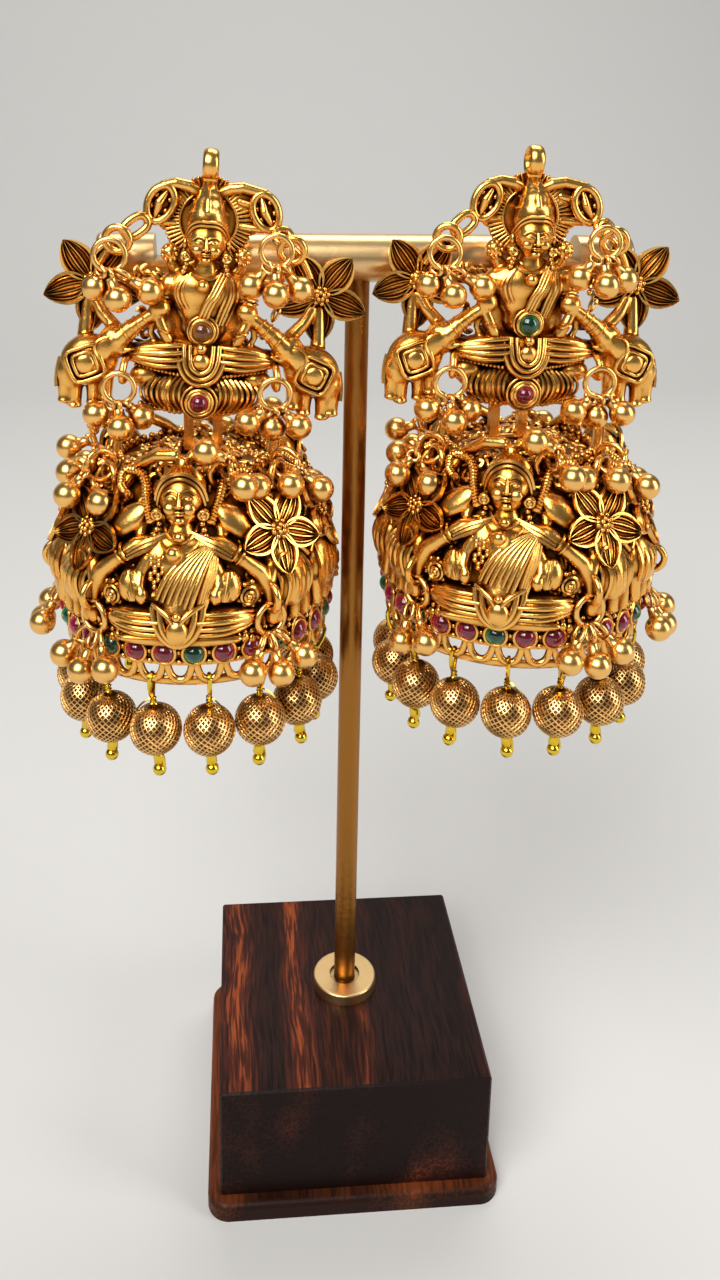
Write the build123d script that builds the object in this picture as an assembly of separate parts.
from build123d import *
import os
from math import cos, radians, sin

# Pair of jhumka earrings on a T-bar display stand. Millimetres, +Z up.
# X runs along the cross bar, -Y is the front. The origin is under the rod, on the plinth's bottom face.

# ---- driving dimensions ----
GAP = 0.05                # between pieces that rest on or in one another
CLEARANCE = 0.05          # radial play of a strap's hole on its rung

# stand
PLINTH_WIDTH = 47.0
PLINTH_THICK = 3.0
PLINTH_CORNER = 3.5
BLOCK_WIDTH = 43.0
BLOCK_HEIGHT = 19.5
ROD_RADIUS = 1.8
FLANGE_RADIUS = 5.4
FLANGE_THICK = 1.9
BAR_RADIUS = 3.55
BAR_LENGTH = 78.8
BAR_MIDDLE = 1.5            # the bar sits a little to the right of its rod
BAR_Z = 149.4             # height of the bar's axis
SLIT_X = 30.1             # slits in the bar's top, each side of its middle
SLIT_WIDTH = 2.1
POST_RADIUS = 0.5
POST_LENGTH = 10.5

# stud panel, in its own plane: u to the right, v up from the post
PANEL_BACK_Y = -3.9
PLATE_THICK = 1.5
LOOP_INNER = 1.25
LOOP_OUTER = 2.35
LOOP_WIDTH = 2.7
LOOP_V = 13.4
PETAL_LENGTH = 6.9
PETAL_WIDTH = 4.0
RUNG_RADIUS = 0.45
RUNG_Y = -5.2
RUNG_Z = 129.0            # swing axis of the left drop
STRAP_SPREAD = 4.2        # between the two straps' middles
STRAP_WIDTH = 1.4
STRAP_DEPTH = 1.8
BALL_RADIUS = 1.9
WIRE_RADIUS = 0.38
STEM_RADIUS = 0.3
RING_RADIUS = 2.15        # jump ring, to the wire's middle

# dome, measured from its axis and from the floor, for the left earring
AXIS_Y = -5.2
DOME_WALL = 1.1
DOME_TOP_Z = 121.0
STONES = 30
STONE_Z = 98.8
STONE_RADIUS = 1.45
STONE_SEAT_RADIUS = 18.75  # floor of the stones' seats, from the dome's axis
BAND_RADIUS = 19.4
LACE_Z = 95.8
LACE_HOLE = 0.9
RIM_Z = 94.0
RIM_RADIUS = 18.7
BEADS = 15
BEAD_RADIUS = 3.64
BEAD_BORE = 0.5
BEAD_Z = 86.4
BEAD_CIRCLE = 18.0
PIN_RADIUS = 0.3

# name: post's x, rise of the whole earring, lean of the stud, dome's x, turn of the dome, turn of the ring
# of stones, x between the straps
EARRINGS = {
    "left": dict(x=-22.1, rise=0.0, lean=3.5, dome_x=-24.1, turn=-5.0, ring=0.5, strap_x=-22.9),
    "right": dict(x=24.0, rise=1.0, lean=1.2, dome_x=24.3, turn=-19.0, ring=-20.0, strap_x=22.4),
}

# outside of the dome: height, radius
DOME_PROFILE = [
    (RIM_Z, RIM_RADIUS),
    (96.9, RIM_RADIUS),
    (97.1, BAND_RADIUS),
    (100.6, BAND_RADIUS),
    (100.8, 19.0),
    (104.0, 18.8),
    (108.0, 18.2),
    (112.0, 17.0),
    (116.0, 15.1),
    (119.0, 12.9),
    (DOME_TOP_Z, 10.4),
]

# stones of the stud: height from the post, depth of the setting, setting's radius
STUD_STONES = [(-9.4, 5.4, 1.75), (-19.6, 5.8, 1.55)]

# ball clusters on the stud: ring u, v; balls u, v, depth in front of the panel's back
STUD_CLUSTERS = [
    dict(ring=(-13.0, 0.6), balls=[(-14.9, -4.0, 5.6), (-11.6, -5.2, 7.2), (-7.4, -4.0, 6.4)]),
    dict(ring=(9.6, 2.6), balls=[(6.4, -2.4, 6.4), (9.8, -3.2, 8.2), (13.3, -2.6, 5.8)]),
    dict(ring=(-11.2, -18.6), balls=[(-14.3, -22.9, 5.6), (-10.6, -24.3, 7.4), (-8.2, -23.2, 4.6)]),
    dict(ring=(10.6, -18.2), balls=[(6.9, -22.6, 6.6), (10.6, -23.9, 5.2), (14.2, -23.0, 6.6)]),
]

SHARES = 3                # the dome repeats three times round

# ball clusters of one share of the dome: hook's direction from the figure, radius and height; balls'
# direction from the hook, radius and height
LOW_BALLS = [(-10.5, 23.0, 96.8), (0.0, 23.2, 95.8), (10.5, 23.0, 97.0)]
LOW_HOOKS = [
    dict(turn=-36.0, r=20.5, z=106.0, balls=LOW_BALLS),
    dict(turn=36.0, r=20.5, z=106.0, balls=LOW_BALLS),
]
HIGH_HOOKS = [
    dict(turn=25.0, r=12.0, z=121.6, balls=[(-12.0, 14.6, 125.6), (2.0, 18.9, 121.6), (14.0, 15.9, 120.2)]),
    dict(turn=-55.0, r=13.6, z=120.0, balls=[(-13.0, 18.4, 120.2), (2.0, 20.2, 118.6), (15.0, 17.6, 118.0)]),
]
HOOK_RADIUS = 1.9         # to the wire's middle
RING_TILT = 54.0          # how far the high rings' middles lie above their hooks' middles


def ball_at(x, y, z, radius):
    return Pos(x, y, z) * Sphere(radius)


def tube_between(start, end, radius):
    """A straight round wire with round ends, turned in one piece."""
    a, b = Vector(*start), Vector(*end)
    length = (b - a).length
    side = Line((radius, 0), (radius, length))
    ends = RadiusArc((0, -radius), (radius, 0), -radius)
    ends += RadiusArc((radius, length), (0, length + radius), -radius)
    half = make_face(side + ends + Line((0, length + radius), (0, -radius)))
    return Plane(origin=a, z_dir=b - a) * revolve(Plane.XZ * half, Axis.Z)


def spin_z(turn):
    return Rot(0, 0, turn)


def slab(sketch, thick, back=0.0):
    """A flat piece of the panel: a sketch in its plane, with its back face at y = -back."""
    return Pos(0, -back, 0) * extrude(Plane.XZ * sketch, amount=thick)


def bar_sketch(p, q, width):
    """A straight round-ended bar from p to q in the panel's plane."""
    run = Vector(q[0] - p[0], q[1] - p[1])
    angle = Vector(1, 0).get_signed_angle(run) if run.length else 0.0
    middle = ((p[0] + q[0]) / 2, (p[1] + q[1]) / 2)
    return Pos(*middle) * Rot(0, 0, angle) * SlotCenterToCenter(run.length, width)


def lump(u, v, depth, radius):
    """A round lump of the relief: part of a ball."""
    return ball_at(u, -depth, v, radius)


def flower(u, v, first_petal, thick):
    """Five petals round a domed middle, as a flat piece in the panel's plane."""
    petals = Sketch() + [
        Pos(u, v) * Rot(0, 0, first_petal + 72 * k) * Pos(PETAL_LENGTH / 2 + 0.5, 0)
        * Ellipse(PETAL_LENGTH / 2, PETAL_WIDTH / 2)
        for k in range(5)
    ]
    return slab(petals + Pos(u, v) * Circle(1.6), thick) + ball_at(u, -thick + 0.3, v, 1.3)


def elephant(side):
    """An elephant in relief, seen from its side, that faces the figure."""
    body = slab(bar_sketch((side * 14.4, -14.4), (side * 17.1, -15.3), 6.2), 4.0)
    head = slab(Pos(side * 11.2, -11.9) * Circle(2.2), 3.8)
    trunk = slab(bar_sketch((side * 10.2, -11.2), (side * 6.4, -8.1), 1.7), 3.6)
    legs = [slab(bar_sketch((side * u, -15.5), (side * u, -20.3), 2.1), 2.6) for u in (12.9, 15.5, 18.1)]
    return body + head + trunk + legs


def stud_panel(e):
    """The cast stud, in its own plane, then leaned and put at the bar."""
    outline = Pos(0, 5.4) * Circle(5.0) + Pos(0, -5.5) * Ellipse(6.4, 7.4)
    outline += Pos(0, -13.6) * SlotOverall(20.5, 5.6)
    outline += Pos(0, -18.4) * SlotOverall(16.6, 5.7)
    for side in (-1, 1):
        outline += bar_sketch((side * 4.0, -3.4), (side * 13.0, -3.0), 2.4)
        outline += bar_sketch((side * 16.4, -6.0), (side * 16.2, -13.5), 1.6)
        outline += bar_sketch((side * 3.6, 8.1), (side * 6.1, 7.5), 1.6)
        outline += Pos(side * 7.2, 8.2) * Rot(0, 0, -side * 28) * (Ellipse(1.9, 2.9) - Ellipse(0.8, 1.5))
    panel = slab(outline, PLATE_THICK)
    for side in (-1, 1):
        panel += flower(side * 16.4, -3.6, 90 - side * 36, PLATE_THICK + 0.2)
        panel += elephant(side)
        panel += slab(bar_sketch((side * 3.6, -13.9), (side * 8.4, -14.1), 4.6), 4.2)
        panel += slab(bar_sketch((side * 4.9, -2.6), (side * 7.4, -7.6), 2.2), 3.6)
    panel += lump(0, -7.3, -0.6, 5.0) + lump(0, 3.3, 2.9, 2.6)
    panel += Pos(0, -2.6, 7.4) * Cone(2.0, 0.7, 4.2)
    panel += lump(0, -13.8, 3.2, 2.9) + slab(bar_sketch((-5.2, -18.8), (5.2, -18.8), 5.0), 4.8)
    panel += Pos(0, -PLATE_THICK, 10.7) * Box(LOOP_WIDTH - 0.3, 2.0, 2.0)
    loop = Pos(0, -PLATE_THICK, LOOP_V) * Rot(0, 90, 0) * Cylinder(LOOP_OUTER, LOOP_WIDTH)
    for v, depth, radius in STUD_STONES:
        panel += Pos(0, -depth / 2, v) * Rot(90, 0, 0) * Cylinder(radius, depth)
    panel -= Pos(0, 10, 0) * Box(80, 20, 80)
    panel += loop
    panel -= Pos(0, -PLATE_THICK, LOOP_V) * Rot(0, 90, 0) * Cylinder(LOOP_INNER, 3 * LOOP_WIDTH)
    for v, depth, radius in STUD_STONES:
        panel -= Pos(0, -depth - 2.4, v) * Rot(90, 0, 0) * Cylinder(radius - 0.3, 6.0)
    panel = Pos(e["x"], PANEL_BACK_Y, BAR_Z + e["rise"]) * Rot(0, e["lean"], 0) * panel
    # pocket behind the lotus base, with the rung that the straps hang on
    rung_z = RUNG_Z + e["rise"]
    reach = STRAP_SPREAD / 2 + STRAP_WIDTH
    panel -= Pos(e["strap_x"], PANEL_BACK_Y - 0.45, rung_z - 1.0) * Box(2 * reach, 4.3, 5.4)
    return panel + Pos(e["strap_x"], RUNG_Y, rung_z) * Rot(0, 90, 0) * Cylinder(RUNG_RADIUS, 2 * reach + 1.0)


def cabochon(radius, height, seat):
    """A domed stone on +Z: a short round foot and a cap that is part of a ball."""
    cap_radius = (radius**2 + height**2) / (2 * height)
    cap = Pos(0, 0, seat + height - cap_radius) * Sphere(cap_radius)
    foot = Cylinder(radius, seat + height, align=(Align.CENTER, Align.CENTER, Align.MIN))
    return foot & cap


def stud_stone(e, v, depth, radius):
    stone = Pos(0, -depth + 0.6 - GAP, v) * Rot(90, 0, 0) * cabochon(radius - 0.3 - GAP, 0.9, 0.7)
    return Pos(e["x"], PANEL_BACK_Y, BAR_Z + e["rise"]) * Rot(0, e["lean"], 0) * stone


def ear_post(e):
    """The hidden post: a small pad behind the stud and a straight pin through the bar."""
    disc = Cylinder(1.4, 0.25, align=(Align.CENTER, Align.CENTER, Align.MIN))
    pad = Pos(e["x"], PANEL_BACK_Y + GAP, BAR_Z) * Rot(-90, 0, 0) * disc
    start, end = (e["x"], PANEL_BACK_Y + 0.2, BAR_Z), (e["x"], PANEL_BACK_Y + POST_LENGTH, BAR_Z)
    pin = tube_between(start, end, POST_RADIUS)
    return pad + (pin & Pos(e["x"], PANEL_BACK_Y + GAP + 10, BAR_Z) * Box(5, 20, 5))


def jump_ring(plane_turn=0.0):
    """A round wire ring that stands in the XZ plane, turned about Z."""
    return Rot(0, 0, plane_turn) * Rot(90, 0, 0) * Torus(RING_RADIUS, WIRE_RADIUS)


def ball_on_stem(foot, centre):
    """A ball and its wire stem, turned in one piece about the stem."""
    start, middle = foot, Vector(*centre)
    length = (middle - start).length
    neck = length - (BALL_RADIUS**2 - STEM_RADIUS**2) ** 0.5
    half = make_face(
        Line((0, -STEM_RADIUS), (STEM_RADIUS, -STEM_RADIUS))
        + Line((STEM_RADIUS, -STEM_RADIUS), (STEM_RADIUS, neck))
        + ThreePointArc((STEM_RADIUS, neck), (BALL_RADIUS, length), (0, length + BALL_RADIUS))
        + Line((0, length + BALL_RADIUS), (0, -STEM_RADIUS))
    )
    return Plane(origin=start, z_dir=middle - start) * revolve(Plane.XZ * half, Axis.Z)


def ring_and_balls(ring, centre, level, balls, first, step):
    """A jump ring, and balls whose stems end just outside its wire, first and step degrees round it.

    level is the ring's own sideways direction."""
    reach = RING_RADIUS + WIRE_RADIUS + 2 * STEM_RADIUS
    pieces = [ring]
    for k, ball in enumerate(balls):
        swing = radians(first + step * k)
        foot = Vector(*centre) + Vector(*level) * (reach * cos(swing)) + Vector(0, 0, reach * sin(swing))
        pieces.append(ball_on_stem(foot, ball))
    return pieces


def placed(place, pieces):
    return [place * piece for piece in pieces]


def stud_clusters(e):
    """Four jump rings, each with three balls."""
    pieces = []
    for row in STUD_CLUSTERS:
        u, v = row["ring"]
        depth = sum(ball[2] for ball in row["balls"]) / len(row["balls"])
        centre = (u, -depth, v)
        balls = [(bu, -bd, bv) for bu, bv, bd in row["balls"]]
        pieces += ring_and_balls(Pos(*centre) * jump_ring(), centre, (1, 0, 0), balls, -115, 25)
    return placed(Pos(e["x"], PANEL_BACK_Y, BAR_Z + e["rise"]) * Rot(0, e["lean"], 0), pieces)


def link_straps(e):
    """Two flat straps with a hole at each end."""
    top = RUNG_Z + e["rise"]
    bottom = DOME_TOP_Z + e["rise"] + 1.3
    side_view = Pos(RUNG_Y, (top + bottom) / 2) * Rot(0, 0, 90) * SlotCenterToCenter(top - bottom, STRAP_DEPTH)
    holes = [Pos(RUNG_Y, z) * Circle(RUNG_RADIUS + CLEARANCE) for z in (top, bottom)]
    strap = extrude(Plane.YZ * (side_view - holes), amount=STRAP_WIDTH / 2, both=True)
    return [Pos(e["strap_x"] + side * STRAP_SPREAD / 2, 0, 0) * strap for side in (-1, 1)]


def dome_figure():
    """The seated figure of one share of the dome, in front of it (towards -Y), at the dome's axis."""
    figure = ball_at(0, -12.9, 119.9, 2.8) + ball_at(0, -13.6, 110.2, 5.2) + ball_at(0, -17.4, 104.3, 2.9)
    for side in (-1, 1):
        figure += tube_between((side * 3.4, -16.4, 104.0), (side * 8.6, -15.2, 104.2), 2.1)
        figure += tube_between((side * 4.2, -15.0, 113.4), (side * 8.4, -15.4, 108.6), 1.1)
    return figure


def dome_corner():
    """What lies between two figures: a flower over an elephant's back."""
    blossom = Pos(0, -15.6, 113.9) * Rot(66, 0, 0) * Cylinder(5.4, 1.4)
    return blossom + ball_at(0, -16.6, 114.3, 1.4) + ball_at(0, -15.6, 107.0, 4.1)


def dome_shell(e):
    """The hollow cast dome with its relief, seats for the stones and holes of the lace rim."""
    outer = [(r, z) for z, r in DOME_PROFILE] + [(0, DOME_TOP_Z), (0, RIM_Z)]
    inner = [(r - DOME_WALL, z - (1.0 if z == DOME_TOP_Z else 0.0)) for z, r in DOME_PROFILE]
    inner = [(RIM_RADIUS - DOME_WALL, RIM_Z - 1)] + inner + [(0, DOME_TOP_Z - 1.0), (0, RIM_Z - 1)]
    solid = revolve(Plane.XZ * make_face(Polyline(*outer, close=True)), Axis.Z)
    hollow = revolve(Plane.XZ * make_face(Polyline(*inner, close=True)), Axis.Z)
    relief = Part() + [
        spin_z(e["turn"] + share * 360 / SHARES + half_turn) * piece
        for share in range(SHARES)
        for half_turn, piece in ((0.0, dome_figure()), (180.0 / SHARES, dome_corner()))
    ]
    low_hook = Rot(0, 90, 0) * Torus(HOOK_RADIUS, WIRE_RADIUS)
    high_hook = Rot(90, 0, 0) * Torus(HOOK_RADIUS, WIRE_RADIUS)
    hooks = [
        spin_z(e["turn"] + share * 360 / SHARES + row["turn"]) * Pos(0, -row["r"], row["z"]) * hook
        for share in range(SHARES)
        for rows, hook in ((LOW_HOOKS, low_hook), (HIGH_HOOKS, high_hook))
        for row in rows
    ]
    shell = solid + relief + hooks - hollow
    drill = Pos(0, -BAND_RADIUS, LACE_Z) * Rot(90, 0, 0) * Cylinder(LACE_HOLE, 5)
    seat = Pos(0, -STONE_SEAT_RADIUS - 2, STONE_Z) * Rot(90, 0, 0) * Cylinder(STONE_RADIUS + GAP, 4)
    step = 360 / STONES
    shell -= [spin_z(e["ring"] + (k + 0.5) * step) * drill for k in range(STONES)]
    shell -= [spin_z(e["ring"] + k * step) * seat for k in range(STONES)]
    # the rung on the dome's top that the straps hold
    rung_z = DOME_TOP_Z + 1.3
    reach = STRAP_SPREAD / 2 + STRAP_WIDTH / 2 + 0.5
    shift = e["strap_x"] - e["dome_x"]
    shell += Pos(shift, 0, rung_z) * Rot(0, 90, 0) * Cylinder(RUNG_RADIUS, 2 * reach + 0.6)
    for side in (-1, 1):
        shell += Pos(shift + side * (reach + 0.15), 0, DOME_TOP_Z + 0.6) * Box(0.7, 1.8, 2.4)
    return Pos(e["dome_x"], AXIS_Y, e["rise"]) * shell


def rim_stones(e):
    stone = Pos(0, -STONE_SEAT_RADIUS - GAP, STONE_Z) * Rot(90, 0, 0) * cabochon(STONE_RADIUS, 1.0, 0.7)
    place = Pos(e["dome_x"], AXIS_Y, e["rise"])
    return [place * spin_z(e["ring"] + k * 360 / STONES) * stone for k in range(STONES)]


def hanging_cluster(row, kept, upright):
    """A jump ring through its hook and the balls it keeps, for a hook at the front of the dome."""
    balls = [(r * sin(radians(turn)), -r * cos(radians(turn)), z) for turn, r, z in kept]
    if upright:
        centre = (0, -row["r"], row["z"] - HOOK_RADIUS + 2 * WIRE_RADIUS + GAP - RING_RADIUS)
        return ring_and_balls(Pos(*centre) * jump_ring(), centre, (1, 0, 0), balls, -115, 25)
    tilt = radians(RING_TILT)
    centre = (0, -row["r"] - RING_RADIUS * cos(tilt), row["z"] + RING_RADIUS * sin(tilt))
    return ring_and_balls(Pos(*centre) * jump_ring(90), centre, (0, -1, 0), balls, 28, -44)


def clears_rod(e, turn, radius):
    """Whether a ball of the dome can swing past the rod without touching it."""
    return abs(e["dome_x"] + radius * sin(radians(turn))) > ROD_RADIUS + BALL_RADIUS + 0.4


def dome_clusters(e):
    """Low clusters at the ends of the figures' laps and high ones at the dome's shoulder."""
    pieces = []
    for share in range(SHARES):
        for rows, upright in ((LOW_HOOKS, True), (HIGH_HOOKS, False)):
            for row in rows:
                facing = e["turn"] + share * 360 / SHARES + row["turn"]
                kept = [ball for ball in row["balls"] if clears_rod(e, facing + ball[0], ball[1])]
                pieces += placed(spin_z(facing), hanging_cluster(row, kept, upright))
    return placed(Pos(e["dome_x"], AXIS_Y, e["rise"]), pieces)


def bead_turn(e, k):
    return e["ring"] + 360 / STONES / 2 + k * 360 / BEADS


def textured_bead(e, k):
    bead = Sphere(BEAD_RADIUS) - Cylinder(BEAD_BORE, 4 * BEAD_RADIUS)
    return Pos(e["dome_x"], AXIS_Y, e["rise"]) * spin_z(bead_turn(e, k)) * Pos(0, -BEAD_CIRCLE, BEAD_Z) * bead


def bead_pins(e):
    """Wire pins: an eye round the rim under a lace hole, a stem through the bead and a seed end."""
    eye_z = RIM_Z + 0.45
    eye_y = -(RIM_RADIUS - DOME_WALL / 2)
    eye = Pos(0, eye_y, eye_z) * Rot(0, 90, 0) * Torus(1.15, PIN_RADIUS)
    low = BEAD_Z - BEAD_RADIUS
    pin = eye + tube_between((0, eye_y, eye_z - 1.15), (0, -BEAD_CIRCLE, BEAD_Z + BEAD_RADIUS + 0.5), PIN_RADIUS)
    pin += tube_between((0, -BEAD_CIRCLE, BEAD_Z + BEAD_RADIUS + 0.5), (0, -BEAD_CIRCLE, low - 1.6), PIN_RADIUS)
    pin += Pos(0, -BEAD_CIRCLE, low - 0.95) * Cylinder(0.85, 1.5) + ball_at(0, -BEAD_CIRCLE, low - 2.4, 1.0)
    place = Pos(e["dome_x"], AXIS_Y, e["rise"])
    return [place * spin_z(bead_turn(e, k)) * pin for k in range(BEADS)]


def plinth_board():
    board = extrude(RectangleRounded(PLINTH_WIDTH, PLINTH_WIDTH, PLINTH_CORNER), amount=PLINTH_THICK)
    return fillet(board.faces().sort_by(Axis.Z)[-1].edges(), 1.0)


def wood_block():
    block = Pos(0, 0, PLINTH_THICK + GAP) * Box(BLOCK_WIDTH, BLOCK_WIDTH, BLOCK_HEIGHT, align=(Align.CENTER, Align.CENTER, Align.MIN))
    return chamfer(block.edges().filter_by(Axis.Z) + block.faces().sort_by(Axis.Z)[-1].edges(), 0.35)


def rod_flange():
    z = PLINTH_THICK + BLOCK_HEIGHT + 2 * GAP
    disc = Pos(0, 0, z) * Cylinder(FLANGE_RADIUS, FLANGE_THICK, align=(Align.CENTER, Align.CENTER, Align.MIN))
    disc = fillet(disc.edges().sort_by(Axis.Z)[-1], 0.3)
    recess = Pos(0, 0, z + FLANGE_THICK - 0.5) * Cylinder(2.6, 1.0, align=(Align.CENTER, Align.CENTER, Align.MIN))
    bore = Pos(0, 0, z - 1) * Cylinder(ROD_RADIUS + GAP, 5, align=(Align.CENTER, Align.CENTER, Align.MIN))
    return disc - recess - bore


def upright_rod():
    z = PLINTH_THICK + BLOCK_HEIGHT + 3 * GAP
    top = BAR_Z - BAR_RADIUS + 2.0
    return Pos(0, 0, z) * Cylinder(ROD_RADIUS, top - z, align=(Align.CENTER, Align.CENTER, Align.MIN))


def cross_bar():
    bar = Pos(BAR_MIDDLE, 0, BAR_Z) * Rot(0, 90, 0) * Cylinder(BAR_RADIUS, BAR_LENGTH)
    bar = fillet(bar.edges().filter_by(GeomType.CIRCLE), 0.6)
    socket = Cylinder(ROD_RADIUS + GAP, 3 + 2 * GAP, align=(Align.CENTER, Align.CENTER, Align.MIN))
    bar -= Pos(0, 0, BAR_Z - BAR_RADIUS - 1) * socket
    slit = Box(SLIT_WIDTH, 3 * BAR_RADIUS, BAR_RADIUS + 0.8)
    for side, e in zip((-1, 1), EARRINGS.values()):
        bar -= Pos(BAR_MIDDLE + side * SLIT_X, 0, BAR_Z + BAR_RADIUS / 2 + 0.4) * slit
        bar -= Pos(e["x"], 0, BAR_Z) * Rot(90, 0, 0) * Cylinder(POST_RADIUS + 0.1, 3 * BAR_RADIUS)
    return bar


def write(name, shape):
    """One STEP file per piece: a single solid, or several like small ones together."""
    solids = []
    for item in shape if isinstance(shape, list) else [shape]:
        solids += item.solids()
    whole = solids[0] if len(solids) == 1 else Compound(children=solids)
    export_step(whole, f"parts/{name}.step")


def main():
    os.makedirs("parts", exist_ok=True)
    write("plinth_board", plinth_board())
    write("wood_block", wood_block())
    write("rod_flange", rod_flange())
    write("upright_rod", upright_rod())
    write("cross_bar", cross_bar())
    for side, e in EARRINGS.items():
        write(f"{side}_stud_panel", stud_panel(e))
        write(f"{side}_ear_post", ear_post(e))
        for name, (v, depth, radius) in zip(("waist_stone", "base_stone"), STUD_STONES):
            write(f"{side}_{name}", stud_stone(e, v, depth, radius))
        write(f"{side}_stud_clusters", stud_clusters(e))
        write(f"{side}_link_straps", link_straps(e))
        write(f"{side}_dome_shell", dome_shell(e))
        write(f"{side}_rim_stones", rim_stones(e))
        write(f"{side}_dome_clusters", dome_clusters(e))
        write(f"{side}_bead_pins", bead_pins(e))
        for k in range(BEADS):
            write(f"{side}_bead_{k + 1:02d}", textured_bead(e, k))


main()
